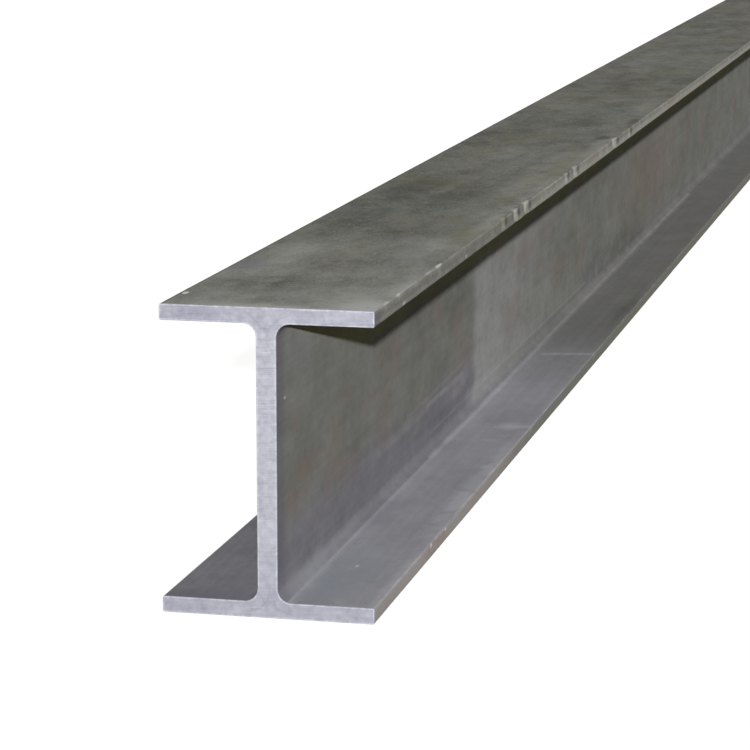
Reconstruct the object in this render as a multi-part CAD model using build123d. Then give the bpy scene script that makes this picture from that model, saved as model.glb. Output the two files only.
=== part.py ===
from build123d import *
import os

# Rolled steel H-beam: one length of stock, lying on its lower flange.
#
# The beam is one piece of hot-rolled steel. Two flat flanges of equal width are
# joined by a web, with a round root in each of the four inner corners and the
# small rounding that the rolls leave on the flange toes. Both ends are saw cut
# square to the length, and the burr is taken off the edge of each cut.
#
# Frame: millimetres, +Z up, +Y along the beam, +X across the flanges. The origin
# is on the underside of the lower flange, at the middle of the width and length.

# The section that the rolls make
section_depth = 302
flange_width = 210
flange_thickness = 16
web_thickness = 20
root_radius = 13
toe_radius = 2

# The length that the stock is cut to
stock_length = 6000
end_edge_break = 0.5

# The direction that the beam runs in, from its near end to its far end
along_beam = (0, 1, 0)

# How near two coordinates have to be to count as one, when picking corners
same_place = 1e-4


def at_half_width(corners: ShapeList, width: float) -> ShapeList:
    """Picks the corners that lie half of a width out from the centre line."""
    return corners.filter_by(lambda corner: abs(abs(corner.X) - width / 2) < same_place)


def rolled_section(end_plane: Plane) -> Sketch:
    """Draws the cross-section on a plane, standing on its lower flange."""
    with BuildSketch(end_plane) as section:
        # Lower and upper flange
        Rectangle(flange_width, flange_thickness, align=(Align.CENTER, Align.MIN))
        with Locations((0, section_depth)):
            Rectangle(flange_width, flange_thickness, align=(Align.CENTER, Align.MAX))
        # Web, from flange to flange
        with Locations((0, flange_thickness)):
            Rectangle(
                web_thickness,
                section_depth - 2 * flange_thickness,
                align=(Align.CENTER, Align.MIN),
            )
        # Roots between web and flanges, then the corners of the flange toes
        fillet(at_half_width(section.vertices(), web_thickness), root_radius)
        largest_toe_radius = 0.49 * flange_thickness
        fillet(
            at_half_width(section.vertices(), flange_width),
            min(toe_radius, largest_toe_radius),
        )
    return section.sketch


def beam_stock() -> Part:
    """Rolls the section out to its length and cuts both ends square."""
    section = rolled_section(Plane.XZ.offset(stock_length / 2))
    with BuildPart() as beam:
        extrude(section, amount=stock_length, dir=along_beam)
        # The first and last faces along the beam are its two saw cuts
        faces_along = beam.faces().sort_by(Axis.Y)
        for saw_cut in (faces_along[0], faces_along[-1]):
            chamfer(saw_cut.edges(), end_edge_break)
    return beam.part


h_beam = beam_stock()
h_beam.label = "h_beam"

os.makedirs("parts", exist_ok=True)
export_step(h_beam, "parts/h_beam.step")
print(f"h_beam: {h_beam.volume / 1e6:.2f} dm3, valid {h_beam.is_valid}")
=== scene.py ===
"""Dresses one length of rolled steel H-beam and puts it in a plain studio.

The beam's skin is built as a fine mesh round the frame's solid: the section with its roots and toes, the
slight unevenness that the rolls leave, knocks along the toes and the broken edge of both saw cuts. Two
finishes dress it: mill scale on everything that the rolls made, and bare sawn steel on the two ends.

Lengths are in metres and colours in 0 to 255 sRGB, unless a name says otherwise.
"""

from __future__ import annotations

import logging
import math
import random
from collections.abc import Iterator, Sequence
from dataclasses import dataclass, field
from enum import Enum, IntEnum
from functools import reduce

import bmesh
import bpy
import numpy as np
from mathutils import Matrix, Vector


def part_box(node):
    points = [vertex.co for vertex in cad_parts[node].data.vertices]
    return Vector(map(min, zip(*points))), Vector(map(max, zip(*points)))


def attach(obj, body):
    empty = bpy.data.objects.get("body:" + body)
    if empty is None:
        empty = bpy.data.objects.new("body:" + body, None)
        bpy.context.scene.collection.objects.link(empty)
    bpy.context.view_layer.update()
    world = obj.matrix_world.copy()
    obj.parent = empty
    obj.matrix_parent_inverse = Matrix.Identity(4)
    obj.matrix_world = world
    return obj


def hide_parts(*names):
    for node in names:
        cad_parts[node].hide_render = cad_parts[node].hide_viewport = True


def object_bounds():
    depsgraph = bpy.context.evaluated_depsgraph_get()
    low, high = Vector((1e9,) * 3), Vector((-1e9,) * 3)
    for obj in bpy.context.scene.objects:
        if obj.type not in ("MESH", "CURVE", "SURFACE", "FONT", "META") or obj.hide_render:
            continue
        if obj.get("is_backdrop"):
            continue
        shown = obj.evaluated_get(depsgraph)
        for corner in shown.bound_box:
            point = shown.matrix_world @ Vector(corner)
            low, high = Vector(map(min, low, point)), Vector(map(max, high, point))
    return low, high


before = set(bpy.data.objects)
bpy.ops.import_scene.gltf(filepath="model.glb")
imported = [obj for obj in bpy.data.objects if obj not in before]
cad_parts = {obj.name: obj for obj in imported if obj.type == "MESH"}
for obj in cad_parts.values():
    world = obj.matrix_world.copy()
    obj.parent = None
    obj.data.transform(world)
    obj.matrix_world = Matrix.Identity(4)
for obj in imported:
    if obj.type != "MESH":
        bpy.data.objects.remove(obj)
cad_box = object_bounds()

log = logging.getLogger("h_beam")

MM = 0.001
BAKE_MAP = "OFBake"
RIM = "rim"

Pair = tuple[float, float]
Triple = tuple[float, float, float]
Socket = bpy.types.NodeSocket
Value = Socket | float
Colour = Socket | Triple
Layer = tuple[Value, Colour]
Source = Socket | float | Sequence[float]


def linear(shade: Triple) -> list[float]:
    """Turns an sRGB colour, from 0 to 255, into the linear one that a shader takes, with an alpha of 1."""
    lit = [part / 255 for part in shade]
    return [*(part / 12.92 if part <= 0.04045 else ((part + 0.055) / 1.055) ** 2.4 for part in lit), 1.0]


class Finish(IntEnum):
    """The beam's two finishes, numbered as their slots on the mesh."""

    MILL_SCALE = 0
    SAWN_STEEL = 1


class Flange(Enum):
    """One of the beam's two flanges."""

    UPPER = "upper"
    LOWER = "lower"


class Side(IntEnum):
    """One side of the beam's web, as the sign of X there."""

    LEFT = -1
    RIGHT = 1


@dataclass(frozen=True)
class OutlinePoint:
    """One point of the section's outline, with the direction that faces out of the steel there."""

    x: float
    z: float
    out_x: float
    out_z: float


@dataclass(frozen=True)
class Section:
    """The rolled cross-section, standing on its lower flange and centred on X.

    The overall sizes come from the frame. The others repeat the part's own section.

    Attributes:
        width: Width of the flanges.
        depth: Height over both flanges.
        flange: Thickness of a flange.
        web: Thickness of the web.
        root: Radius of the hollow corners between web and flanges.
        toe: Radius of the flange toes' corners.
        toe_zone: Width of the strip of flange, next to a toe, that gets a finer mesh.
    """

    width: float
    depth: float
    flange: float = 16 * MM
    web: float = 20 * MM
    root: float = 13 * MM
    toe: float = 2 * MM
    toe_zone: float = 22 * MM

    @property
    def half_width(self) -> float:
        """Distance from the middle of the web to a toe."""
        return self.width / 2

    @property
    def half_depth(self) -> float:
        """Distance from mid depth to the outer face of a flange."""
        return self.depth / 2

    def straight(self, start: Pair, end: Pair, steps: int) -> Iterator[OutlinePoint]:
        """Walks a flat face of the section, leaving out its last point.

        Args:
            start: X and Z of the first point.
            end: X and Z of the last point.
            steps: How many stretches the face is divided into.

        Yields:
            The outline's points along the face.
        """
        run_x, run_z = end[0] - start[0], end[1] - start[1]
        length = math.hypot(run_x, run_z)
        for step in range(steps):
            x, z = start[0] + step / steps * run_x, start[1] + step / steps * run_z
            yield OutlinePoint(x, z, run_z / length, -run_x / length)

    def arc(self, centre: Pair, radius: float, turn: Pair, steps: int) -> Iterator[OutlinePoint]:
        """Walks a rounded corner of the section, leaving out its last point.

        Args:
            centre: X and Z of the arc's centre.
            radius: The arc's radius.
            turn: Its first and last angle, in degrees from +X towards +Z. They fall in a hollow corner.
            steps: How many stretches the arc is divided into.

        Yields:
            The outline's points along the arc.
        """
        first, last = turn
        outward = 1 if last > first else -1
        for step in range(steps):
            angle = math.radians(first + (last - first) * step / steps)
            cosine, sine = math.cos(angle), math.sin(angle)
            x, z = centre[0] + radius * cosine, centre[1] + radius * sine
            yield OutlinePoint(x, z, outward * cosine, outward * sine)

    def lower_right(self) -> list[OutlinePoint]:
        """Walks from the middle of the underside round the lower right toe and up the web.

        Returns:
            The outline's points, up to the last one below mid depth.
        """
        side_x, toe_x = self.half_width, self.half_width - self.toe
        zone_x = toe_x - self.toe_zone
        web_x, root_x = self.web / 2, self.web / 2 + self.root
        low = self.flange
        spans = [
            self.straight((0, 0), (zone_x, 0), 5),
            self.straight((zone_x, 0), (toe_x, 0), 4),
            self.arc((toe_x, self.toe), self.toe, (-90, 0), 4),
            self.straight((side_x, self.toe), (side_x, low - self.toe), 4),
            self.arc((toe_x, low - self.toe), self.toe, (0, 90), 4),
            self.straight((toe_x, low), (zone_x, low), 4),
            self.straight((zone_x, low), (root_x, low), 4),
            self.arc((root_x, low + self.root), self.root, (270, 180), 8),
            self.straight((web_x, low + self.root), (web_x, self.half_depth), 6),
        ]
        return [point for span in spans for point in span]

    def outline(self) -> list[OutlinePoint]:
        """Walks the whole outline, anticlockwise as seen from the near end.

        Returns:
            Its points, from the middle of the underside.
        """
        lower = self.lower_right()
        mid_depth = OutlinePoint(self.web / 2, self.half_depth, 1, 0)
        upper = [OutlinePoint(point.x, self.depth - point.z, point.out_x, -point.out_z) for point in lower]
        right = [*lower, mid_depth, *reversed(upper)]
        left = [OutlinePoint(-point.x, point.z, -point.out_x, point.out_z) for point in right[1:-1]]
        return [*right, *reversed(left)]


@dataclass(frozen=True)
class Mark:
    """A spot or patch that the finish shows at one place.

    Attributes:
        place: Distance across from the web's middle, distance from the near end, and height.
        reach: How far it spreads along each axis.
        strength: How strongly it shows, from 0 to 1.
    """

    place: Triple
    reach: Triple
    strength: float


@dataclass(frozen=True)
class Scratch:
    """A straight line that something left on the steel.

    Attributes:
        start: Distance across from the web's middle, distance from the near end, and height at one end.
        end: The same at the other end.
        width: How wide it is.
        strength: How strongly it shows, from 0 to 1.
    """

    start: Triple
    end: Triple
    width: float
    strength: float


@dataclass(frozen=True)
class Shade:
    """The darkest and the palest colour of one part of a finish."""

    dark: Triple
    pale: Triple


@dataclass(frozen=True)
class Knock:
    """A dent that handling left in a toe, with bare steel showing in it.

    Attributes:
        from_end: Distance from the near end.
        along: Half of its length along the beam.
        depth: How far the steel is pushed in.
        bared: How much bare steel shows in it, from 0 to 1.
        height: Height of its middle in the toe, from the toe's lower corner.
        reach: How far it spreads over the toe.
        flange: The flange whose toe it is in.
        side: The side of the beam that it is on.
    """

    from_end: float
    along: float
    depth: float
    bared: float
    height: float = 11 * MM
    reach: float = 11 * MM
    flange: Flange = Flange.UPPER
    side: Side = Side.RIGHT

    def middle(self, section: Section, near_y: float = 0.0) -> Triple:
        """Gives its middle on a beam of this section, with the near end at near_y."""
        under = section.depth - section.flange if self.flange is Flange.UPPER else 0.0
        return self.side * section.half_width, near_y + self.from_end, under + self.height

    def smears(self, section: Section, shift: float, strength: float) -> list[Mark]:
        """Marks the toe at the knock, and the upper flange's outer face just beyond it.

        Args:
            section: The section that it is in.
            shift: How far from the knock the marks are, along the beam.
            strength: How strongly they show, from 0 to 1.

        Returns:
            The marks.
        """
        across, from_end, height = self.middle(section)
        spread = (0.8 * self.reach, self.along, self.reach)
        smears = [Mark((across, from_end + shift, height), spread, strength)]
        if self.flange is Flange.UPPER:
            beyond = (across - self.side * 1.5 * MM, from_end + shift + self.along, section.depth)
            smears.append(Mark(beyond, (2.4 * MM, self.along, 4 * MM), 0.5 * strength))
        return smears


@dataclass
class NodeBoard:
    """A material's node tree, with a short method for each step that the finishes take.

    Attributes:
        tree: The node tree.
        near_y: Where the near end is along Y. Places on a board are given from there.
    """

    tree: bpy.types.ShaderNodeTree
    near_y: float = 0.0

    def add(self, kind: str, *sources: Source, **settings: object) -> bpy.types.ShaderNode:
        """Adds a node.

        Args:
            kind: Blender's name for the node, without the leading word ShaderNode.
            *sources: What its first inputs take.
            **settings: Properties to set on it.

        Returns:
            The node.
        """
        node = self.tree.nodes.new(f"ShaderNode{kind}")
        for name, value in settings.items():
            setattr(node, name, value)
        self.feed(node, dict(enumerate(sources)))
        return node

    def feed(self, node: bpy.types.ShaderNode, sources: dict[int | str, Source]) -> None:
        """Sets inputs of a node, from other nodes' outputs or to plain values.

        Args:
            node: The node.
            sources: What each input takes, by its number or name.
        """
        for key, source in sources.items():
            if isinstance(source, bpy.types.NodeSocket):
                self.tree.links.new(source, node.inputs[key])
            else:
                node.inputs[key].default_value = source

    def math(self, operation: str, *terms: Value, clamp: bool = False) -> Socket:
        """Does arithmetic on values, by Blender's name for the operation, and may keep it from 0 to 1."""
        return self.add("Math", *terms, operation=operation, use_clamp=clamp).outputs[0]

    def total(self, *terms: Value) -> Socket:
        """Adds values."""
        return reduce(lambda so_far, term: self.math("ADD", so_far, term), terms)

    def product(self, *terms: Value) -> Socket:
        """Multiplies values."""
        return reduce(lambda so_far, term: self.math("MULTIPLY", so_far, term), terms)

    def highest(self, *terms: Value) -> Socket:
        """Takes the highest of some values."""
        return reduce(lambda so_far, term: self.math("MAXIMUM", so_far, term), terms)

    def minus(self, value: Value, other: Value) -> Socket:
        """Subtracts a value from another."""
        return self.math("SUBTRACT", value, other)

    def apart(self, value: Value, other: Value) -> Socket:
        """Gives how far two values are apart."""
        return self.math("ABSOLUTE", self.minus(value, other))

    def scaled(self, value: Value, by: Value, start: Value) -> Socket:
        """Multiplies two values and adds the product to a third."""
        return self.math("MULTIPLY_ADD", value, by, start)

    def vector(self, operation: str, *terms: Source) -> Socket:
        """Does arithmetic on vectors, and gives a plain value for a length or a dot product."""
        node = self.add("VectorMath", *terms, operation=operation)
        return node.outputs["Value" if operation in ("LENGTH", "DOT_PRODUCT") else "Vector"]

    def place(self) -> Socket:
        """Gives a point's place on the beam, with Y from the near end."""
        return self.vector("SUBTRACT", self.add("TexCoord").outputs["Object"], (0.0, self.near_y, 0.0))

    def axes(self, place: Socket) -> tuple[Socket, Socket, Socket]:
        """Splits a place into X, Y and Z."""
        node = self.add("SeparateXYZ", place)
        return node.outputs[0], node.outputs[1], node.outputs[2]

    def pattern(
        self, place: Socket, size: Triple, seed: float, detail: float = 3, rough: float = 0.5
    ) -> bpy.types.ShaderNode:
        """Lays out an uneven pattern.

        Args:
            place: Where the pattern is read.
            size: About how large its blotches are along each axis.
            seed: Picks one pattern of many.
            detail: How many finer layers it has.
            rough: How strong the finer layers are.

        Returns:
            The pattern's node.
        """
        offset = (seed, 1.7 * seed, 2.3 * seed)
        node = self.add("TexNoise", self.vector("MULTIPLY_ADD", place, [1 / side for side in size], offset))
        self.feed(node, {"Scale": 1.0, "Detail": detail, "Roughness": rough})
        return node

    def noise(self, place: Socket, size: Triple, *settings: float) -> Socket:
        """Makes an uneven pattern, as a value about 0.5 and mostly from 0.25 to 0.75."""
        return self.pattern(place, size, *settings).outputs[0]

    def stray(self, place: Socket, size: float, by: float, seed: float) -> Socket:
        """Shifts places unevenly, so that what is read there gets ragged edges.

        Args:
            place: The places to shift.
            size: How large the wanderings are.
            by: How far they shift.
            seed: Picks one pattern of many.

        Returns:
            The shifted places.
        """
        wander = self.pattern(place, (size, size, size), seed).outputs["Color"]
        about_zero = self.vector("SUBTRACT", wander, (0.5, 0.5, 0.5))
        return self.vector("MULTIPLY_ADD", about_zero, (by, by, by), place)

    def rise(self, value: Value, low: float, high: float, start: float = 0.0, end: float = 1.0) -> Socket:
        """Turns a value into a share: start up to low, end from high on, and a smooth change between."""
        return self.add("MapRange", value, low, high, start, end, interpolation_type="SMOOTHSTEP").outputs[0]

    def fall(self, value: Value, low: float, high: float, start: float = 1.0) -> Socket:
        """Turns a value into a share that falls smoothly to nothing between two of its levels."""
        return self.rise(value, low, high, start, 0.0)

    def swing(self, middle: Value, *parts: tuple[Socket, Value]) -> Socket:
        """Adds patterns to a value, each about its own middle and by how far a full swing of it goes."""
        swings = [(self.minus(pattern, 0.5), by) for pattern, by in parts]
        return reduce(lambda so_far, swing: self.scaled(*swing, so_far), swings, middle)

    def blend(self, share: Value, first: Colour, second: Colour) -> Socket:
        """Mixes two colours.

        Args:
            share: How much of the second shows.
            first: A colour, as an output or in sRGB.
            second: The other colour.

        Returns:
            The mix.
        """
        node = self.add("Mix", share, data_type="RGBA", clamp_factor=True)
        slots = [key for key, socket in enumerate(node.inputs) if socket.type == "RGBA"]
        for key, colour in zip(slots, (first, second), strict=True):
            self.feed(node, {key: colour if isinstance(colour, bpy.types.NodeSocket) else linear(colour)})
        return next(socket for socket in node.outputs if socket.type == "RGBA")

    def shaded(self, tone: Value, shade: Shade) -> Socket:
        """Picks a colour from a shade, by a tone from 0, dark, to 1, pale."""
        return self.blend(tone, shade.dark, shade.pale)

    def layered(self, colour: Colour, *layers: Layer) -> Socket:
        """Lays layers over a colour, each one as how much it shows and its own colour."""
        return reduce(lambda so_far, layer: self.blend(layer[0], so_far, layer[1]), layers, colour)

    def spots(self, place: Socket, marks: Sequence[Mark], edge: float) -> Socket:
        """Shows marks at their places, and nothing elsewhere.

        Args:
            place: Where the marks are read.
            marks: The marks.
            edge: Share of a mark's reach over which it fades out.

        Returns:
            The strength of the strongest mark there.
        """
        shares = []
        for mark in marks:
            away = self.vector("DIVIDE", self.vector("SUBTRACT", place, mark.place), mark.reach)
            shares.append(self.fall(self.vector("LENGTH", away), 1 - edge, 1.0, mark.strength))
        return self.highest(*shares)

    def scratched(self, place: Socket, scratches: Sequence[Scratch]) -> Socket:
        """Shows scratches at their places, and nothing elsewhere.

        Args:
            place: Where the scratches are read.
            scratches: The scratches.

        Returns:
            The strength of the strongest scratch there.
        """
        shares = []
        for scratch in scratches:
            run = Vector(scratch.end) - Vector(scratch.start)
            away = self.vector("SUBTRACT", place, scratch.start)
            along = self.vector("DOT_PRODUCT", away, run)
            on_line = self.add("VectorMath", run, operation="SCALE")
            self.feed(on_line, {"Scale": self.math("DIVIDE", along, run.length_squared, clamp=True)})
            off_line = self.vector("LENGTH", self.vector("SUBTRACT", away, on_line.outputs[0]))
            shares.append(self.fall(off_line, 0.15 * scratch.width, 0.5 * scratch.width, scratch.strength))
        return self.highest(*shares)

    def surface(
        self, colour: Socket, rough: Socket, height: Socket, depth: float, metal: Value, gloss: float
    ) -> None:
        """Ends the material in one shader.

        Args:
            colour: Its colour.
            rough: Its roughness.
            height: Its relief, from 0 to 1.
            depth: How deep a relief of 1 is.
            metal: How metallic it is.
            gloss: Its specular level.
        """
        bump, shader = self.add("Bump"), self.add("BsdfPrincipled")
        self.feed(bump, {"Distance": depth, "Height": height})
        self.feed(shader, {"Base Color": colour, "Metallic": metal, "Roughness": rough})
        self.feed(shader, {"Specular IOR Level": gloss, "Normal": bump.outputs[0]})
        self.add("OutputMaterial", shader.outputs[0])


def new_board(name: str, near_y: float = 0.0) -> tuple[bpy.types.Material, NodeBoard]:
    """Makes an empty material.

    Args:
        name: Its name.
        near_y: Where the beam's near end is along Y.

    Returns:
        The material and the board on which its nodes are laid.
    """
    material = bpy.data.materials.new(name)
    material.use_nodes = True
    material.node_tree.nodes.clear()
    return material, NodeBoard(material.node_tree, near_y)


# Heights of the top and of the seat, which is the lower flange's upper face, and the right
# faces of the web and of the toes along X. Marks and scratches are placed on them.
TOP = cad_box[1][2]
SEAT = Section.flange
WEB = Section.web / 2
TOE = cad_box[1][0]

# How deep a mark reaches off its face.
FACE_REACH = 6 * MM
TOE_REACH = 2.6 * MM


def on_top(across: float, from_end: float, wide: float, long: float, strength: float) -> Mark:
    """Marks the top of the upper flange, in millimetres."""
    return Mark((across * MM, from_end * MM, TOP), (wide * MM, long * MM, FACE_REACH), strength)


def on_seat(across: float, from_end: float, wide: float, long: float, strength: float) -> Mark:
    """Marks the seat, in millimetres."""
    return Mark((across * MM, from_end * MM, SEAT), (wide * MM, long * MM, FACE_REACH), strength)


def on_web(from_end: float, height: float, long: float, tall: float, strength: float) -> Mark:
    """Marks the right face of the web, in millimetres."""
    return Mark((WEB, from_end * MM, height * MM), (FACE_REACH, long * MM, tall * MM), strength)


def on_toe(from_end: float, height: float, long: float, tall: float, strength: float) -> Mark:
    """Marks a toe on the right, in millimetres."""
    return Mark((TOE, from_end * MM, height * MM), (TOE_REACH, long * MM, tall * MM), strength)


def web_scratch(start: Pair, end: Pair, width: float, strength: float) -> Scratch:
    """Scratches the right face of the web. Each end is a distance from the near end and a height, in mm."""
    ends = [(WEB, from_end * MM, height * MM) for from_end, height in (start, end)]
    return Scratch(*ends, width * MM, strength)


def seat_scratch(start: Pair, end: Pair, width: float, strength: float) -> Scratch:
    """Scratches the seat. Each end is a distance across and one from the near end, in mm."""
    ends = [(across * MM, from_end * MM, SEAT) for across, from_end in (start, end)]
    return Scratch(*ends, width * MM, strength)


@dataclass(frozen=True)
class MillScale:
    """Hot-rolled mill scale: mottled olive grey, slate low down, with stains, wear, pits and a little rust,
    and with painted shade under the upper flange and beyond each knock and a painted highlight along the
    lower right root.

    Attributes:
        web: Colours of the web and of the upper flange's inner face.
        shadow_band_olive: Painted shade: olive on the web's right face under the flange, past a slanting
            line at the near end, where the key light's shadow falls.
        wiped_web: Colours where the web was wiped.
        root: Colours at the foot of the web.
        seat: Colours of the lower flange.
        far_seat: Its colours away from the near end.
        top: Colours of the upper flange's outer face.
        toe: Colours of the upper toes, palest away from the near end.
        low_toe: Colours of the lower toes, palest at the near end.
        bare: Steel from which the scale is worn.
        chip: The whitest chips.
        rust: Rust on the toes.
        stain: The reddish stains on the web.
        olive: The yellowish patches on the top.
        slate: The bluish patches on the top.
        pale_slate: The bluish patch on the lower flange.
        heat: The violet strip beside a saw cut.
        dirt_and_shade: A near-black olive: grime in the pits, painted shade beyond each knock, and the dark
            strip along the upper flange's left corner.
        rough: The scale's roughness.
        relief: How deep its unevenness is.
        gloss: Its specular level.
        pale_patches: Patches paler than the scale round them.
        dark_patches: Patches darker than the scale round them.
        olive_patches: The strongest yellowish patches.
        slate_patches: The strongest bluish patches on the top.
        pale_slate_patches: The bluish patches on the lower flange.
        stains: The stains on the web.
        worn_patches: Patches worn thin.
        chips: Chips down to bright steel.
        rusty: Where the lower toe has rusted.
        scratches_and_root_highlight: Lines that something dragged along the steel, and a line along the
            lower right root that is partly wear and partly a painted highlight.
    """

    web: Shade = Shade((99, 100, 94), (144, 145, 141))
    # Painted shade: this olive gives the key light's shadow under the upper flange its colour.
    shadow_band_olive: Shade = Shade((118, 117, 88), (166, 166, 132))
    wiped_web: Shade = Shade((117, 118, 117), (166, 167, 167))
    root: Shade = Shade((101, 101, 106), (140, 139, 146))
    seat: Shade = Shade((130, 131, 138), (172, 172, 180))
    far_seat: Shade = Shade((96, 96, 94), (132, 132, 131))
    top: Shade = Shade((84, 85, 80), (150, 151, 147))
    toe: Shade = Shade((129, 129, 127), (173, 172, 167))
    low_toe: Shade = Shade((130, 131, 121), (174, 169, 166))
    bare: Triple = (186, 186, 190)
    chip: Triple = (226, 226, 224)
    rust: Triple = (160, 119, 102)
    stain: Triple = (134, 110, 102)
    olive: Triple = (120, 118, 98)
    slate: Triple = (112, 114, 122)
    pale_slate: Triple = (146, 151, 161)
    heat: Triple = (104, 100, 118)
    # Grime in the pits, and also painted shade beyond each knock.
    dirt_and_shade: Triple = (62, 61, 50)
    rough: float = 0.80
    relief: float = 0.25 * MM
    gloss: float = 0.012
    pale_patches: tuple[Mark, ...] = (
        on_top(76, 40, 50, 100, 0.55),
        on_top(98, 130, 22, 170, 0.34),
        on_top(-30, 2, 130, 42, 0.40),
        on_top(-78, 60, 40, 60, 0.16),
        on_top(-66, 330, 42, 170, 0.24),
        on_top(74, 380, 34, 170, 0.18),
        on_top(97, 900, 24, 460, 0.48),
        on_top(96, 620, 20, 190, 0.58),
        on_top(76, 1050, 48, 640, 0.34),
        on_top(98, 1400, 26, 360, 0.48),
        on_top(0, 1350, 120, 500, 0.14),
        on_top(84, 1950, 40, 400, 0.20),
        on_seat(23, 110, 9, 190, 0.36),
        on_seat(102, 90, 8, 200, 0.30),
        on_seat(97, 520, 16, 360, 0.62),
        on_seat(50, 210, 40, 90, 0.14),
        Mark((14 * MM, 0.10, 22 * MM), (17 * MM, 0.40, 15 * MM), 0.46),
        on_web(60, 250, 90, 40, 0.16),
        on_web(946, 36, 44, 18, 0.30),
        on_web(1036, 130, 76, 110, 0.20),
    )
    dark_patches: tuple[Mark, ...] = (
        on_top(-28, 150, 80, 84, 0.42),
        on_top(-52, 128, 38, 44, 0.24),
        on_top(36, 168, 52, 70, 0.32),
        on_top(4, 300, 60, 110, 0.26),
        on_top(-66, 620, 44, 190, 0.24),
        on_top(-60, 900, 46, 190, 0.28),
        on_top(10, 520, 60, 120, 0.12),
        on_top(88, 1554, 15, 40, 0.60),
        on_top(96, 905, 16, 34, 0.22),
        on_top(98, 1790, 14, 70, 0.45),
        on_seat(94, 1760, 18, 240, 0.40),
        Mark((-60 * MM, 0.2, SEAT), (90 * MM, 0.5, 12 * MM), 0.16),
        on_web(880, 172, 120, 46, 0.26),
        on_web(720, 42, 240, 18, 0.14),
        on_web(690, 150, 140, 50, 0.12),
        on_web(2300, 36, 600, 56, 0.34),
    )
    olive_patches: tuple[Mark, ...] = (
        on_top(52, 637, 24, 80, 0.55),
        on_top(74, 826, 22, 90, 0.50),
        on_top(84, 1240, 26, 260, 0.40),
        on_top(86, 530, 28, 110, 0.62),
    )
    slate_patches: tuple[Mark, ...] = (
        on_top(-86, 262, 26, 70, 0.60),
        on_top(-84, 60, 40, 40, 0.40),
        on_top(96, 250, 12, 120, 0.25),
    )
    pale_slate_patches: tuple[Mark, ...] = (
        on_seat(44, 100, 56, 200, 0.84),
    )
    stains: tuple[Mark, ...] = (
        on_web(112, 126, 80, 24, 0.42),
        on_web(58, 104, 60, 30, 0.36),
        on_web(280, 166, 70, 15, 0.26),
        on_web(424, 139, 90, 14, 0.24),
        on_web(353, 135, 60, 12, 0.24),
        on_web(210, 146, 50, 14, 0.22),
        on_web(1348, 165, 170, 26, 0.28),
        on_web(1653, 99, 190, 30, 0.24),
        on_web(2700, 130, 640, 120, 0.34),
        on_web(1500, 172, 120, 20, 0.20),
    )
    worn_patches: tuple[Mark, ...] = (
        on_top(92, 16, 44, 74, 0.62),
        on_top(0, -6, 120, 34, 0.40),
        on_top(102, 130, 9, 150, 0.22),
        on_seat(80, 862, 26, 34, 0.46),
        on_seat(70, 775, 20, 14, 0.22),
    )
    chips: tuple[Mark, ...] = (
        on_top(-98, 66, 3.5, 9, 0.85),
        on_toe(52, 301.4, 16, 1.6, 0.30),
        on_toe(104, 301.4, 14, 1.8, 0.40),
        on_toe(128, 289, 7, 2.2, 0.6),
        on_toe(243, 301.6, 20, 1.6, 0.25),
        on_toe(297, 301.6, 20, 2.4, 0.55),
        on_toe(440, 290, 7, 2.5, 0.45),
        on_toe(262, 13, 7, 2.4, 0.75),
        on_toe(335, 13, 6, 2.2, 0.75),
        on_web(31, 210, 5.5, 1.9, 0.45),
        on_seat(52, 152, 2, 7, 0.4),
    )
    rusty: tuple[Mark, ...] = (
        on_toe(60, 6, 90, 14, 0.10),
        on_toe(290, 8, 110, 14, 0.36),
        on_toe(470, 8, 110, 12, 0.22),
    )
    scratches_and_root_highlight: tuple[Scratch, ...] = (
        web_scratch((400, 69), (720, 71), 16, 0.07),
        web_scratch((690, 72), (985, 71), 10, 0.16),
        web_scratch((580, 79), (960, 86), 9, 0.07),
        web_scratch((850, 58), (985, 76), 34, 0.12),
        web_scratch((700, 36), (1900, 34), 5, 0.10),
        seat_scratch((58, 852), (102, 862), 20, 0.20),
        seat_scratch((40, 1362), (104, 1377), 22, 0.28),
        # Along the lower right root: partly wear, partly a painted highlight of the fillet.
        seat_scratch((21.5, 0), (21.5, 3200), 14, 0.08),
        seat_scratch((20.5, 660), (20.5, 1140), 12, 0.30),
        seat_scratch((19.5, 1150), (19.5, 3200), 9, 0.18),
    )

    def material(self, section: Section, near_y: float, knocks: Sequence[Knock]) -> bpy.types.Material:
        """Makes the finish.

        Args:
            section: The section that it covers.
            near_y: Where the near end is along Y.
            knocks: The dents in which bare steel shows.

        Returns:
            The material.
        """
        material, board = new_board("mill_scale", near_y)
        ScaleCoat(self, board, section, knocks).lay()
        return material


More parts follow.
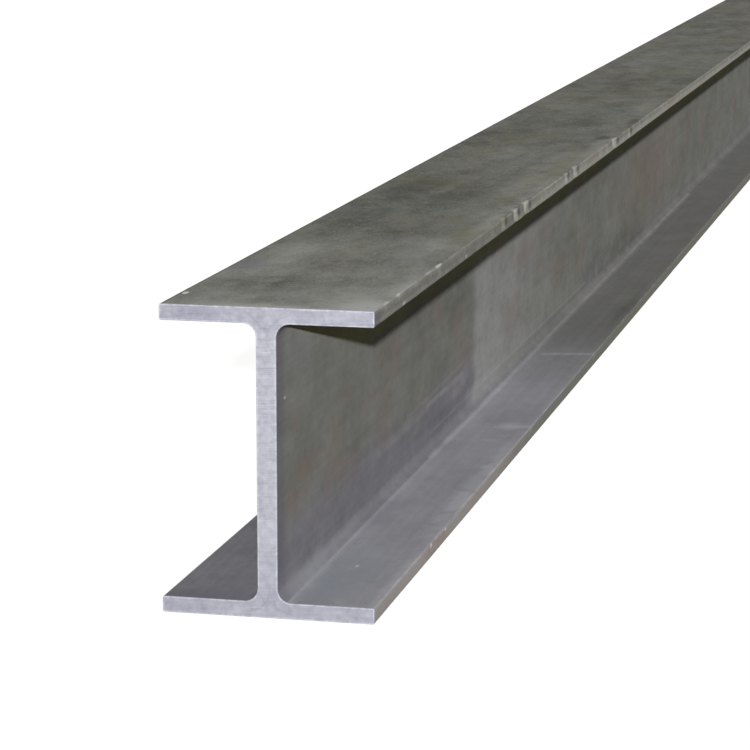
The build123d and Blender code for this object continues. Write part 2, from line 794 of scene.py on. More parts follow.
@dataclass
class ScaleCoat:
    """Mill scale as it is laid on a material's board, from its ground colour up.

    Attributes:
        scale: The finish.
        board: The material's board.
        section: The section that the finish covers.
        knocks: The dents in which bare steel shows.
        place: A point's place on the beam.
        across: Its distance from the middle of the web, with its sign.
        from_end: Its distance from the near end.
        height: Its height.
        ragged: Its place, shifted for the ragged edges of patches.
        chipped: Its place, shifted for the edges of chips.
        torn: Its place, shifted for the edges of knocks.
        on_top: 1 on the upper flange's outer face, and 0 elsewhere.
        off_top: The opposite.
        on_right: 1 on the right of the web, and 0 on its left.
        on_seat: 1 on the lower flange, on the right of the web, and 0 elsewhere.
        toes: 1 on the four toes, corners and all, and 0 elsewhere.
        wiped: How far the web has been wiped paler.
        blotch: Blotches of a hand's width, longer along the beam.
        cloud: Blotches of a finger's width.
        streak: The lines that the rolls drew.
        grain: The finest grain.
        hue: Where the scale's hue varies.
        speckle: The pattern of flakes, pits and rust.
        flakes: Where the scale has flaked.
        pits: Where it is pitted.
        bare: Where bare steel shows.
    """

    scale: MillScale
    board: NodeBoard
    section: Section
    knocks: Sequence[Knock]

    def __post_init__(self) -> None:
        """Lays out the places, faces and patterns that the layers share."""
        board, section = self.board, self.section
        place = self.place = board.place()
        self.across, self.from_end, self.height = board.axes(place)
        self.ragged = board.stray(place, 36 * MM, 16 * MM, 3.1)
        self.chipped = board.stray(place, 5 * MM, 3 * MM, 7.7)
        self.torn = board.stray(place, 14 * MM, 9 * MM, 9.4)

        self.on_top = board.rise(self.height, section.depth - 1.6 * MM, section.depth - 0.2 * MM)
        self.off_top = board.minus(1.0, self.on_top)
        self.on_right = board.rise(self.across, 0.0, section.web / 2)
        low_flange = board.fall(self.height, section.flange + 0.1 * MM, section.flange + 1 * MM)
        self.on_seat = board.product(low_flange, self.on_right)
        off_web = board.apart(self.across, 0.0)
        self.toes = board.rise(off_web, section.half_width - 2.0 * MM, section.half_width - 0.7 * MM)
        self.wiped = self.wiped_share()

        self.blotch = board.noise(place, (44 * MM, 105 * MM, 44 * MM), 5.0, 4, 0.55)
        self.cloud = board.noise(self.ragged, (14 * MM, 28 * MM, 14 * MM), 8.2, 4, 0.6)
        self.streak = board.noise(place, (5 * MM, 1.1, 5 * MM), 17.0, 2)
        self.grain = board.noise(place, (2.4 * MM, 5 * MM, 2.4 * MM), 2.0, 2, 0.6)
        self.hue = board.noise(place, (0.07, 0.13, 0.07), 21.0, 3)
        self.speckle = board.noise(self.ragged, (5 * MM, 12 * MM, 5 * MM), 31.0, 3, 0.6)
        self.flakes = board.rise(self.speckle, 0.66, 0.70)
        self.pits = board.fall(self.speckle, 0.30, 0.35)
        self.bare = self.bare_share()

    def lay(self) -> None:
        """Lays all layers over one another and ends the material."""
        board, scale = self.board, self.scale
        colour = board.layered(
            self.ground(),
            *self.tints(),
            *self.wear(),
            *self.toe_layers(),
            (self.heat_share(), scale.heat),
            (self.left_corner_dark_strip(), scale.dirt_and_shade),
            (self.rust_share(), scale.rust),
            # Painted shade just beyond each knock.
            (self.knock_shade(), scale.dirt_and_shade),
            (self.bare, scale.bare),
            (board.spots(self.chipped, scale.chips, 0.5), scale.chip),
        )
        rough = board.swing(scale.rough, (self.cloud, 0.3), (self.streak, 0.2), (self.grain, 0.15))
        rough = board.scaled(self.bare, -0.15, rough)
        relief = board.swing(0.5, (self.cloud, 0.6), (self.grain, 0.22))
        relief = board.scaled(self.pits, -0.35, board.scaled(self.flakes, -0.15, relief))
        board.surface(colour, rough, relief, scale.relief, board.product(self.bare, 0.6), scale.gloss)

    def patches(self, marks: Sequence[Mark]) -> Socket:
        """Shows marks with soft and ragged edges."""
        return self.board.spots(self.ragged, marks, 0.9)

    def tone(self) -> Socket:
        """Mixes patterns, patches and the paler near end into one tone.

        Returns:
            The tone, from 0, dark, to 1, pale.
        """
        board, scale = self.board, self.scale
        broad = board.noise(self.place, (0.22, 0.50, 0.22), 11.0, 2)
        mottle = board.swing(0.0, (self.blotch, 1.05), (self.cloud, 0.75), (broad, 0.5))
        on_near_top = board.product(self.on_top, board.rise(self.from_end, 0.20, 0.55, 1.0, 0.62))
        gain = board.highest(on_near_top, board.scaled(self.on_seat, -0.26, 0.82))
        streaks = (self.streak, board.product(self.off_top, 0.35))
        grains = (self.grain, board.scaled(self.on_top, 0.55, 0.30))
        tone = board.swing(board.scaled(mottle, gain, 0.5), streaks, grains)
        patches = board.minus(self.patches(scale.pale_patches), self.patches(scale.dark_patches))
        near_end = board.rise(self.from_end, 0.02, 0.50, 0.16, 0.0)
        near_end = board.scaled(board.rise(self.from_end, 0.20, 0.9, 0.04, -0.22), self.on_top, near_end)
        return board.math("MULTIPLY_ADD", self.wiped, 0.1, board.total(tone, near_end, patches), clamp=True)

    def ground(self) -> Socket:
        """Colours the scale by tone and by where it is on the section.

        Returns:
            The colour.
        """
        board, scale, tone = self.board, self.scale, self.tone()
        layers = (
            (self.slate_foot(), scale.root),
            (self.on_seat, scale.seat),
            (self.on_top, scale.top),
            (self.wiped, scale.wiped_web),
            # Painted shade: olive laid where the key light's shadow falls under the upper flange.
            (self.shadow_band_share(), scale.shadow_band_olive),
            (self.far_seat_share(), scale.far_seat),
        )
        shaded = [(share, board.shaded(tone, shade)) for share, shade in layers]
        return board.layered(board.shaded(tone, scale.web), *shaded)

    def slate_foot(self) -> Socket:
        """Says where the web's foot turns slate, up to a wavering line that sinks along the beam.

        Returns:
            The share of slate.
        """
        board = self.board
        waver = board.noise(self.place, (0.09, 0.36, 0.09), 27.0, 3)
        sunk = board.rise(self.from_end, 0.8, 1.6, 0.0, 0.055)
        return board.fall(board.total(board.swing(self.height, (waver, -0.08)), sunk), 0.050, 0.120)

    def shadow_band_share(self) -> Socket:
        """Says where the web gets painted shade colour: under the flange, above a slanting line at the near
        end, following the key light's cast shadow.

        Returns:
            The share of painted shade colour.
        """
        board = self.board
        slant = board.scaled(self.from_end, 0.23, self.height)
        high = board.rise(self.height, 0.192, 0.216)
        return board.product(self.off_top, self.on_right, high, board.rise(slant, 0.283, 0.292))

    def far_seat_share(self) -> Socket:
        """Says where the lower flange is darker, away from the near end.

        Returns:
            The share of darker scale.
        """
        board = self.board
        low = board.fall(self.height, 25 * MM, 36 * MM)
        far = board.rise(board.swing(self.from_end, (self.blotch, 0.5)), 1.00, 1.65)
        return board.product(low, self.on_right, far)

    def wiped_share(self) -> Socket:
        """Says how far the web has been wiped paler, from one upright edge onwards.

        Returns:
            The share of wiped scale.
        """
        board = self.board
        from_edge = board.total(self.from_end, board.fall(self.height, 0.026, 0.052, 0.025))
        along = board.product(board.rise(from_edge, 0.962, 1.002), board.fall(self.from_end, 1.05, 1.85))
        foot = board.rise(self.height, 0.016, 0.030, 0.0, 0.9)
        return board.product(along, foot, board.fall(self.height, 0.150, 0.285), self.on_right)

    def tints(self) -> list[Layer]:
        """Tints the scale: yellowish and bluish patches, and reddish stains on the web.

        Returns:
            The tints' layers.
        """
        board, scale = self.board, self.scale
        olive = board.rise(self.hue, 0.50, 0.68, 0.0, 0.28)
        olive = board.product(olive, self.on_top, board.rise(self.from_end, 0.1, 0.5))
        slate = board.fall(self.hue, 0.32, 0.48, 0.16)
        reddish = board.rise(self.hue, 0.50, 0.66, 0.0, 0.24)
        reddish = board.product(reddish, self.off_top, board.rise(self.height, 0.04, 0.10))
        return [
            (board.highest(olive, self.patches(scale.olive_patches)), scale.olive),
            (board.highest(slate, self.patches(scale.slate_patches)), scale.slate),
            (self.patches(scale.pale_slate_patches), scale.pale_slate),
            (board.highest(board.spots(self.ragged, scale.stains, 0.95), reddish), scale.stain),
        ]

    def wear(self) -> list[Layer]:
        """Wears the scale thin in patches, flakes it and pits it, most of all on the top.

        Returns:
            The wear's layers.
        """
        board, scale = self.board, self.scale
        return [
            (board.spots(self.chipped, scale.worn_patches, 0.9), scale.bare),
            (board.product(self.flakes, board.scaled(self.on_top, 0.16, 0.06)), scale.bare),
            (board.product(self.pits, board.scaled(self.on_top, 0.2, 0.1)), scale.dirt_and_shade),
        ]

    def toe_layers(self) -> list[Layer]:
        """Colours the toes, the lower ones below their worn top corners.

        Returns:
            The toes' layers.
        """
        board, scale, section = self.board, self.scale, self.section
        along = board.swing(self.from_end, (self.blotch, 0.3), (self.cloud, 0.2), (self.grain, 0.1))
        above_middle = board.rise(self.height, section.half_depth, section.half_depth + 1 * MM)
        upper = board.product(self.toes, above_middle, board.scaled(self.on_top, -0.6, 1.0), 0.9)
        tone = board.swing(self.toe_tone(along), (self.cloud, 1.7), (self.grain, 0.9))
        below_corner = board.fall(self.height, section.flange - 2.0 * MM, section.flange - 0.8 * MM)
        lower = board.product(self.toes, below_corner, 0.85)
        low_tone = board.fall(along, 0.38, 1.05)
        return [(upper, board.shaded(tone, scale.toe)), (lower, board.shaded(low_tone, scale.low_toe))]

    def toe_tone(self, along: Socket) -> Socket:
        """Shades the upper toe: worn pale at both corners near the end, and pale all over further on.

        Args:
            along: An uneven distance from the near end.

        Returns:
            The tone, from 0, dark, to 1, pale.
        """
        board = self.board
        up = board.minus(self.height, self.section.depth - self.section.flange)
        high = board.rise(up, 8 * MM, 14 * MM, 0.0, 0.40)
        low = board.fall(up, 3 * MM, 8 * MM, 0.45)
        corners = board.product(board.highest(high, low), board.rise(along, 0.15, 0.60, 1.0, 0.25))
        far = board.product(board.rise(along, 0.50, 1.10), board.rise(up, 4 * MM, 14 * MM, 1.0, 0.2))
        return board.total(corners, far)

    def toe_corners(self) -> Socket:
        """Picks out the rounded corners of the four toes.

        Returns:
            1 on a toe corner, and 0 elsewhere.
        """
        board, section = self.board, self.section
        off_middle = board.apart(self.height, section.half_depth)
        inner = section.half_depth - section.flange
        outer_corner = board.rise(off_middle, section.half_depth - 2.0 * MM, section.half_depth - 0.8 * MM)
        inner_corner = board.fall(off_middle, inner + 0.8 * MM, inner + 2.0 * MM)
        return board.product(self.toes, board.highest(outer_corner, inner_corner))

    def heat_share(self) -> Socket:
        """Says where the saw's heat has coloured the scale, except on the top and the seat."""
        beside_cut = self.board.fall(self.from_end, 12 * MM, 42 * MM, 0.40)
        return self.board.product(beside_cut, self.off_top, self.board.minus(1.0, self.on_seat))

    def left_corner_dark_strip(self) -> Socket:
        """Says where a thin dark strip lines the upper flange's left top corner.

        Returns:
            The share of the dark strip.
        """
        left, top = -self.section.half_width, self.section.depth
        beside = self.board.fall(self.across, left + 1 * MM, left + 5 * MM)
        return self.board.product(beside, self.board.rise(self.height, top - 3 * MM, top - 1 * MM), 0.8)

    def rust_share(self) -> Socket:
        """Says where rust shows: faintly along the toes, and more on the lower right one near the end.

        Returns:
            The share of rust.
        """
        board = self.board
        faint = board.noise(self.place, (0.03, 0.16, 0.03), 61.0, 3, 0.6)
        faint = board.rise(faint, 0.55, 0.72, 0.0, 0.25)
        shown = board.highest(board.spots(self.place, self.scale.rusty, 0.8), faint)
        return board.product(self.toes, board.rise(self.speckle, 0.36, 0.58), shown)

    def bare_share(self) -> Socket:
        """Says where bare steel shows: in the knocks, in scratches and at worn toe corners, and along the
        lower right root, partly as a painted highlight.

        Returns:
            The share of bare steel.
        """
        board = self.board
        dents = [knock.smears(self.section, 0.0, knock.bared) for knock in self.knocks]
        patchy = board.noise(self.place, (0.012, 0.05, 0.012), 51.0, 4, 0.65)
        scratches = board.scratched(self.place, self.scale.scratches_and_root_highlight)
        scratches = board.product(scratches, board.rise(patchy, 0.30, 0.60, 0.4, 1.2))
        worn = board.product(self.toe_corners(), board.rise(patchy, 0.46, 0.66, 0.0, 0.20))
        return board.highest(board.spots(self.torn, sum(dents, []), 0.7), scratches, worn)

    def knock_shade(self) -> Socket:
        """Says where painted shade darkens the steel just beyond each knock."""
        beyond = [knock.smears(self.section, 1.7 * knock.along, 0.6) for knock in self.knocks]
        return self.board.spots(self.torn, sum(beyond, []), 0.8)


@dataclass(frozen=True)
class SawnSteel:
    """The bare steel of a saw cut: light grey, with fine blade lines, flow lines and a bright burred rim
    that is partly a painted highlight.

    Attributes:
        pale: Its palest grey.
        dull: Its darkest grey.
        line: The flow lines.
        rim: The burr that the saw left round the cut, painted brighter as a highlight of the edge too.
        metal: How metallic it is.
        rough: Its roughness.
        gloss: Its specular level.
        blade_tilt: How far the blade lines lean, in radians.
        relief: How deep the blade lines are.
        dull_patches: The dullest parts of the cut.
    """

    pale: Triple = (163, 163, 170)
    dull: Triple = (122, 122, 137)
    line: Triple = (116, 116, 128)
    rim: Triple = (178, 178, 188)
    metal: float = 0.9
    rough: float = 0.34
    gloss: float = 0.5
    blade_tilt: float = math.radians(3.5)
    relief: float = 0.05 * MM
    dull_patches: tuple[Mark, ...] = (
        Mark((-62 * MM, 0.0, 294 * MM), (56 * MM, 0.2, 26 * MM), 0.18),
    )

    def material(self, section: Section, near_y: float) -> bpy.types.Material:
        """Makes the finish.

        Args:
            section: The section that was cut.
            near_y: Where the near end is along Y.

        Returns:
            The material.
        """
        material, board = new_board("sawn_steel", near_y)
        place = board.place()
        turned = board.add("VectorRotate", place, rotation_type="Y_AXIS")
        board.feed(turned, {"Angle": self.blade_tilt})
        blade = board.noise(turned.outputs[0], (0.05, 0.05, 1.1 * MM), 4.0, 2, 0.6)
        pass_mark = board.noise(turned.outputs[0], (0.3, 0.3, 7 * MM), 6.0, 2)
        mottle = board.noise(place, (7 * MM, 7 * MM, 7 * MM), 9.0, 6, 0.72)
        broad = board.noise(place, (55 * MM, 55 * MM, 55 * MM), 14.0, 2)

        off_middle = board.apart(board.axes(place)[2], section.half_depth)
        on_web_share = board.fall(off_middle, section.half_depth - 45 * MM, section.half_depth - 15 * MM)
        middle = board.scaled(on_web_share, 0.22, 0.46)
        middle = board.minus(middle, board.spots(place, self.dull_patches, 0.8))
        tone = board.swing(middle, (blade, 0.14), (pass_mark, 0.20), (mottle, 0.85), (broad, 0.55))
        rim = board.add("Attribute", attribute_name=RIM, attribute_type="GEOMETRY").outputs["Fac"]
        colour = board.layered(
            board.blend(tone, self.dull, self.pale),
            (self.flow_lines(board, section, place), self.line),
            # The burr round the cut: bare steel, and also a painted highlight of the edge.
            (board.product(rim, board.rise(mottle, 0.35, 0.6, 0.3, 1.0)), self.rim),
        )
        rough = board.swing(self.rough, (blade, 0.15), (mottle, 0.15))
        relief = board.swing(0.5, (blade, 0.5), (mottle, 0.3))
        board.surface(colour, rough, relief, self.relief, self.metal, self.gloss)
        return material

    def flow_lines(self, board: NodeBoard, section: Section, place: Socket) -> Socket:
        """Draws the faint lines along which the steel flowed from the web into the flanges.

        Args:
            board: The material's board.
            section: The section that was cut.
            place: A point's place on the cut.

        Returns:
            How strongly they show.
        """
        across, _, height = board.axes(board.stray(place, 22 * MM, 17 * MM, 12.5))
        bend = section.web / 2 + section.root
        start = section.half_depth - section.flange - section.root
        sideways = board.minus(bend, board.apart(across, 0.0))
        outward = board.minus(board.apart(height, section.half_depth), start)
        squares = board.total(board.math("POWER", sideways, 2.0), board.math("POWER", outward, 2.0))
        thin = board.fall(board.apart(board.math("SQRT", squares), bend), 0.1 * MM, 1.6 * MM, 0.30)
        past_web = board.rise(outward, -6 * MM, 4 * MM)
        return board.product(thin, board.rise(sideways, -3 * MM, 3 * MM), past_web)


@dataclass
class BeamStock:
    """The length of rolled steel: its skin, its unevenness, its knocks and its two cut ends.

    Attributes:
        section: The rolled cross-section.
        near_y: Where the near end is along Y.
        far_y: Where the far end is along Y.
        edge_break: How much the file took off the edge of each saw cut.
        rim_width: How far the burr's brightness, partly a painted highlight, reaches in from the edge of a
            cut.
        station: Distance between rings of the mesh where nothing is knocked.
        closest: Least distance between two rings.
        waviness: How far the rolls leave a face off flat.
        wave_count: How many waves cross on it.
        wave_lengths: The shortest and the longest of them.
        sharp_angle: The least angle, in radians, at which an edge is shaded sharp.
        knock_row: The knocks along the upper right toe, from the near end.
        row_length: How far from the near end the right side has no other knocks.
        knocks: All of the knocks.
    """

    section: Section
    near_y: float
    far_y: float
    edge_break: float = 0.5 * MM
    rim_width: float = 1.4 * MM
    station: float = 26 * MM
    closest: float = 0.4 * MM
    waviness: float = 0.12 * MM
    wave_count: int = 14
    wave_lengths: Pair = (0.10, 0.55)
    sharp_angle: float = math.radians(32)
    knock_row: tuple[Knock, ...] = (
        Knock(0.655, along=14 * MM, depth=1.4 * MM, bared=0.0),
        Knock(0.742, along=13 * MM, depth=2.0 * MM, bared=0.52),
        Knock(0.812, along=15 * MM, depth=2.2 * MM, bared=0.62),
        Knock(1.110, along=13 * MM, depth=1.3 * MM, bared=0.35),
        Knock(1.184, along=16 * MM, depth=1.6 * MM, bared=0.42),
        Knock(1.545, along=22 * MM, depth=1.8 * MM, bared=0.50),
        Knock(1.690, along=18 * MM, depth=1.6 * MM, bared=0.0),
    )
    row_length: float = 3.2
    knocks: list[Knock] = field(init=False)

    def __post_init__(self) -> None:
        """Gathers the knocks: the row along the upper right toe, and lesser ones along every toe."""
        self.knocks = [*self.knock_row, *self.lesser_knocks()]

    def lesser_knocks(self) -> Iterator[Knock]:
        """Scatters small knocks along the four toes.

        Yields:
            The knocks.
        """
        chance = random.Random(20)
        length = self.far_y - self.near_y
        for flange in Flange:
            for side in Side:
                for _ in range(4):
                    knock = Knock(
                        from_end=chance.uniform(0.05 * length, 0.97 * length),
                        height=chance.uniform(2, 14) * MM,
                        along=chance.uniform(5, 10) * MM,
                        reach=chance.uniform(5, 8) * MM,
                        depth=chance.uniform(0.6, 1.5) * MM,
                        bared=chance.uniform(0.2, 0.6),
                        flange=flange,
                        side=side,
                    )
                    if side is Side.LEFT or knock.from_end > self.row_length:
                        yield knock

    def stations(self) -> np.ndarray:
        """Places the mesh's rings: even steps along the beam, closer ones at the ends and at each knock.

        Returns:
            The rings' places along Y.
        """
        steps = round((self.far_y - self.near_y) / self.station)
        places = list(np.linspace(self.near_y, self.far_y, steps + 1))
        for end, inward in ((self.near_y, 1), (self.far_y, -1)):
            places += [end + inward * step for step in (self.edge_break, 2 * MM, 6 * MM, 12 * MM)]
        for knock in self.knocks:
            middle = self.near_y + knock.from_end
            places += list(middle + knock.along * np.linspace(-2.2, 2.2, 9))
        places = np.unique(np.clip(places, self.near_y, self.far_y).round(5))
        apart = np.diff(places, prepend=-np.inf)
        return places[(apart > self.closest) | (places == self.far_y)]

    def waves(self, along: np.ndarray, round_about: np.ndarray) -> np.ndarray:
        """Works out how far each point lies below flat, as the rolls leave it.

        Args:
            along: Place along the beam, one for each ring.
            round_about: Distance round the outline, one for each of its points.

        Returns:
            A depth for each ring and point, from 0 to the waviness.
        """
        chance = np.random.default_rng(7)
        total = np.zeros((len(along), len(round_about)))
        for _ in range(self.wave_count):
            length = chance.uniform(*self.wave_lengths)
            heading = chance.normal(0, 0.5)
            phase = chance.uniform(0, 2 * math.pi)
            run = math.cos(heading) * along[:, None] + math.sin(heading) * round_about[None, :]
            total += np.sin(2 * math.pi / length * run + phase)
        return self.waviness * (0.5 + 0.5 * total / math.sqrt(2 * self.wave_count)).clip(0, 1)

    def skin(self) -> tuple[np.ndarray, np.ndarray]:
        """Places every vertex of the beam's skin, with a last ring inside the edge of each cut.

        Returns:
            The vertices, as rings by points by coordinates, and the distance round the outline of each
            point with the whole way round at the end.
        """
        outline = self.section.outline()
        flat = np.array([(point.x, point.z) for point in outline])
        out = np.array([(point.out_x, point.out_z) for point in outline])
        steps = np.linalg.norm(np.roll(flat, -1, axis=0) - flat, axis=1)
        round_about = np.concatenate([[0.0], np.cumsum(steps)])
        along = self.stations()
        along = np.concatenate([along[:1], along, along[-1:]])

        sunk = self.waves(along, round_about[:-1])
        chance = np.random.default_rng(13)
        for edge, inside in ((1, 0), (-2, -1)):
            sunk[edge] += self.edge_break * chance.uniform(0.75, 1.25, len(flat))
            sunk[inside] = sunk[edge] + self.rim_width * chance.uniform(0.9, 1.1, len(flat))
        across = flat[None] - sunk[:, :, None] * out[None]
        rings = np.empty((len(along), len(flat), 3))
        rings[:, :, 0] = across[:, :, 0]
        rings[:, :, 1] = along[:, None]
        rings[:, :, 2] = across[:, :, 1]
        for knock in self.knocks:
            self.press(rings, out, knock)
        return rings, round_about

    def press(self, rings: np.ndarray, out: np.ndarray, knock: Knock) -> None:
        """Pushes a knock into the skin.

        Args:
            rings: The skin's vertices, which are moved.
            out: The direction that faces out of the steel, for each point of the outline.
            knock: The knock.
        """
        off = rings - np.array(knock.middle(self.section, self.near_y))
        spread = (off[:, :, 1] / knock.along) ** 2
        spread += (off[:, :, 0] ** 2 + off[:, :, 2] ** 2) / knock.reach**2
        push = knock.depth * np.exp(-spread)
        rings[:, :, 0] -= knock.side * push
        inward = -1 if knock.flange is Flange.UPPER else 1
        facing_out = (out[None, :, 1] * inward < -0.2) & (np.abs(off[:, :, 0]) < knock.reach)
        rings[:, :, 2] += inward * 0.35 * push * facing_out

    def build(self) -> bpy.types.Object:
        """Makes the beam's mesh: a closed skin with a face at each end.

        Returns:
            The beam, without its finishes.
        """
        rings, round_about = self.skin()
        count, points = rings.shape[:2]
        ring = np.arange(count - 1)[:, None] * points
        point = np.arange(points)[None, :]
        after = (point + 1) % points
        quads = np.stack([ring + point, ring + points + point, ring + points + after, ring + after], -1)
        mesh = bpy.data.meshes.new("h_beam_steel")
        mesh.from_pydata(rings.reshape(-1, 3).tolist(), [], quads.reshape(-1, 4).tolist())
        rim = np.zeros((count, points))
        rim[1] = rim[-2] = 1.0
        mesh.attributes.new(RIM, "FLOAT", "POINT").data.foreach_set("value", rim.ravel())
        self.lay_out_sides(mesh, rings[:, 0, 1], round_about)
        self.close_ends(mesh)
        mesh.polygons.foreach_set("use_smooth", [True] * len(mesh.polygons))
        mesh.set_sharp_from_angle(angle=self.sharp_angle)
        mesh.validate()
        beam = bpy.data.objects.new("h_beam_steel", mesh)
        bpy.context.scene.collection.objects.link(beam)
        return beam

    def lay_out_sides(self, mesh: bpy.types.Mesh, along: np.ndarray, round_about: np.ndarray) -> None:
        """Unrolls the skin onto a map: two halves of the length, one above the other.

        Args:
            mesh: The mesh, open at both ends.
            along: Place of each ring along the beam.
            round_about: Distance round the outline of each point, and the whole way round at the end.
        """
        middle = (self.near_y + self.far_y) / 2
        half = self.far_y - middle
        band, gap = 0.43, 0.005
        rows, columns = len(along) - 1, len(round_about) - 1
        starts, ends = along[:-1], along[1:]
        upper = (starts + ends) / 2 > middle
        low = np.where(upper, middle, self.near_y)
        left, right = (starts - low) / half, (ends - low) / half
        base = np.where(upper, band + gap, 0.0)
        up = band * round_about / round_about[-1]
        corners = np.empty((rows, columns, 4, 2))
        for corner, (sideways, climb) in enumerate(((left, 0), (right, 0), (right, 1), (left, 1))):
            corners[:, :, corner, 0] = sideways[:, None].clip(0, 1)
            corners[:, :, corner, 1] = base[:, None] + up[None, climb : climb + columns]
        layer = mesh.uv_layers.new(name=BAKE_MAP)
        layer.uv.foreach_set("vector", corners.ravel())

    def close_ends(self, mesh: bpy.types.Mesh) -> None:
        """Closes both ends, gives them and their broken edges the sawn finish, and lays them on the map.

        Args:
            mesh: The mesh, open at both ends.
        """
        bm = bmesh.new()
        bm.from_mesh(mesh)
        layer = bm.loops.layers.uv[BAKE_MAP]
        scale, base = 0.40, 0.88
        for facing, end_y, start in ((-1, self.near_y, 0.02), (1, self.far_y, 0.20)):
            rim = [edge for edge in bm.edges if edge.is_boundary and edge.verts[0].co.y * facing > 0]
            bmesh.ops.triangle_fill(bm, use_beauty=True, edges=rim, normal=(0, facing, 0))
            for face in bm.faces:
                off_end = [abs(vert.co.y - end_y) for vert in face.verts]
                if max(off_end) > 1.01 * self.edge_break:
                    continue
                face.material_index = Finish.SAWN_STEEL
                if max(off_end) < 0.1 * self.edge_break:
                    face.normal_update()
                    if face.normal.y * facing < 0:
                        face.normal_flip()
                for loop in face.loops:
                    place = loop.vert.co
                    up = base + scale * (place.x + self.section.half_width)
                    loop[layer].uv = (start + scale * place.z, up)
        bm.to_mesh(mesh)
        bm.free()

    def dress(self, beam: bpy.types.Object, scale: MillScale, sawn: SawnSteel) -> None:
        """Gives the beam its finishes and its place in the frame.

        Args:
            beam: The beam's object.
            scale: The finish of what was rolled.
            sawn: The finish of the cut ends.
        """
        finishes = {
            Finish.MILL_SCALE: scale.material(self.section, self.near_y, self.knocks),
            Finish.SAWN_STEEL: sawn.material(self.section, self.near_y),
        }
        for finish in Finish:
            beam.data.materials.append(finishes[finish])
        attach(beam, "root")
        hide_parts("h_beam")


@dataclass(frozen=True)
class Lamp:
    """A far lamp, whose light travels one way over the whole length of the beam.

    Attributes:
        name: Its name.
        level: How bright it makes a white surface that faces it, where 1 is white.
        heading: The direction that its light travels in.
        spread: How wide it looks from the beam, in degrees.
    """

    name: str
    level: float
    heading: Triple
    spread: float

    def hang(self) -> None:
        """Adds the lamp to the scene."""
        light = bpy.data.lights.new(self.name, "SUN")
        light.energy = self.level * math.pi
        light.angle = math.radians(self.spread)
        lamp = bpy.data.objects.new(self.name, light)
        lamp.rotation_euler = Vector(self.heading).to_track_quat("-Z", "Y").to_euler()
        bpy.context.scene.collection.objects.link(lamp)


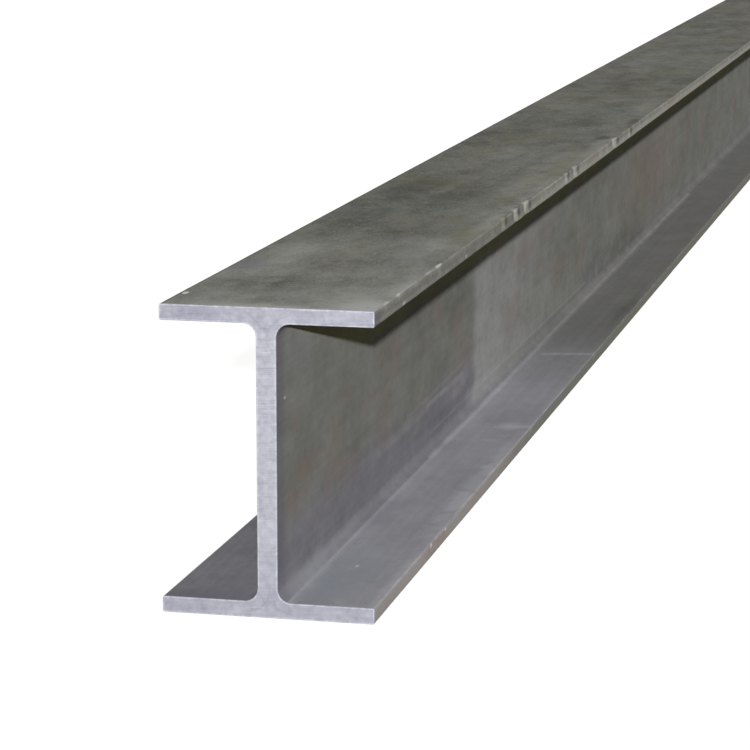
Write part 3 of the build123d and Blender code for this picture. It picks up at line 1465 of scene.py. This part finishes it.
@dataclass
class Studio:
    """A plain pale floor, lamps and the camera.

    Attributes:
        near_end: Middle of the near end's underside, from which places are given.
        floor_reach: How far the floor runs each way.
        floor_grey: The floor's colour to the light.
        floor_seen: Its colour where it is seen, which keeps the beam's shadow on it.
        floor_glow: What is added where the floor is seen, so that it shows white.
        fill_level: How bright the light from all round makes a white surface.
        fill_tint: Its colour.
        backdrop: The colour of the backdrop.
        lamps: The lamps.
        eye: The camera's place from the near end.
        aim: The point that it looks at.
        focal_pixels: Its focal length, in pixels of a picture that is picture_pixels wide.
        picture_pixels: Width of that picture.
        sensor_mm: Width of its sensor.
        sight: How far it sees.
    """

    near_end: Vector
    floor_reach: float = 90.0
    floor_grey: float = 80
    floor_seen: float = 104
    floor_glow: float = 0.925
    fill_level: float = 0.105
    fill_tint: Triple = (255, 245, 200)
    backdrop: Triple = (255, 255, 255)
    lamps: tuple[Lamp, ...] = (
        Lamp("key", 2.3, (-0.218, 0.951, -0.218), 0.9),
        Lamp("right", 0.03, (-0.95, 0.10, -0.24), 50),
        Lamp("back_left", 0.45, (0.80, -0.55, -0.22), 40),
    )
    eye: Triple = (0.697, -2.5703, 0.745)
    aim: Triple = (0.1054, 0.0, 0.2418)
    focal_pixels: float = 2873
    picture_pixels: float = 750
    sensor_mm: float = 36
    sight: float = 500

    def lay_floor(self) -> None:
        """Lays the floor, which shows white where nothing shades it."""
        reach = self.floor_reach
        corners = [(-reach, -reach, 0), (reach, -reach, 0), (reach, reach, 0), (-reach, reach, 0)]
        mesh = bpy.data.meshes.new("floor")
        mesh.from_pydata(corners, [], [(0, 1, 2, 3)])
        floor = bpy.data.objects.new("floor", mesh)
        bpy.context.scene.collection.objects.link(floor)
        material, board = new_board("floor")
        seen = self.seen_directly(board)
        matt = board.add("BsdfDiffuse", board.blend(seen, (self.floor_grey,) * 3, (self.floor_seen,) * 3))
        glow = board.add("Emission")
        board.feed(glow, {"Strength": board.product(seen, self.floor_glow)})
        both = board.add("AddShader", matt.outputs[0], glow.outputs[0])
        board.add("OutputMaterial", both.outputs[0])
        mesh.materials.append(material)
        floor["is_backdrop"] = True

    def seen_directly(self, board: NodeBoard) -> Socket:
        """Tells rays that show the background, straight or in metal, from those that only carry light."""
        rays = board.add("LightPath").outputs
        return board.highest(*(rays[f"Is {kind} Ray"] for kind in ("Camera", "Glossy", "Transmission")))

    def surround(self) -> None:
        """Makes the light from all round, which shows as a white backdrop."""
        world = bpy.data.worlds.new("studio")
        bpy.context.scene.world = world
        world.use_nodes = True
        world.node_tree.nodes.clear()
        board = NodeBoard(world.node_tree)
        seen = self.seen_directly(board)
        colour = board.blend(seen, self.fill_tint, self.backdrop)
        light = board.add("Background", colour, board.scaled(seen, 1 - self.fill_level, self.fill_level))
        board.add("OutputWorld", light.outputs[0])

    def set_camera(self) -> None:
        """Sets the camera near the beam's end, above its right side."""
        lens = bpy.data.cameras.new("camera")
        lens.sensor_width = self.sensor_mm
        lens.lens = self.focal_pixels / self.picture_pixels * self.sensor_mm
        lens.clip_end = self.sight
        camera = bpy.data.objects.new("camera", lens)
        camera.location = self.near_end + Vector(self.eye)
        towards = Vector(self.aim) - Vector(self.eye)
        camera.rotation_euler = towards.to_track_quat("-Z", "Y").to_euler()
        bpy.context.scene.collection.objects.link(camera)
        bpy.context.scene.camera = camera

    def build(self) -> None:
        """Sets up the floor, the light and the camera."""
        self.lay_floor()
        self.surround()
        for lamp in self.lamps:
            lamp.hang()
        self.set_camera()
        bpy.context.scene.view_settings.view_transform = "Standard"


def main() -> None:
    """Builds the beam and its studio, and reports the beam."""
    logging.basicConfig(level=logging.INFO, format="%(name)s: %(message)s")
    low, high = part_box("h_beam")
    section = Section(width=high.x - low.x, depth=high.z - low.z)
    stock = BeamStock(section=section, near_y=low.y, far_y=high.y)
    beam = stock.build()
    stock.dress(beam, MillScale(), SawnSteel())
    beam.data.calc_loop_triangles()
    log.info("%s: %d triangles, %d knocks", beam.name, len(beam.data.loop_triangles), len(stock.knocks))
    Studio(near_end=Vector((0.0, low.y, 0.0))).build()


if __name__ == "__main__":
    main()
    boxes = {"cad": cad_box, "visual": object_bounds()}
    {name: [list(low), list(high)] for name, (low, high) in boxes.items()}
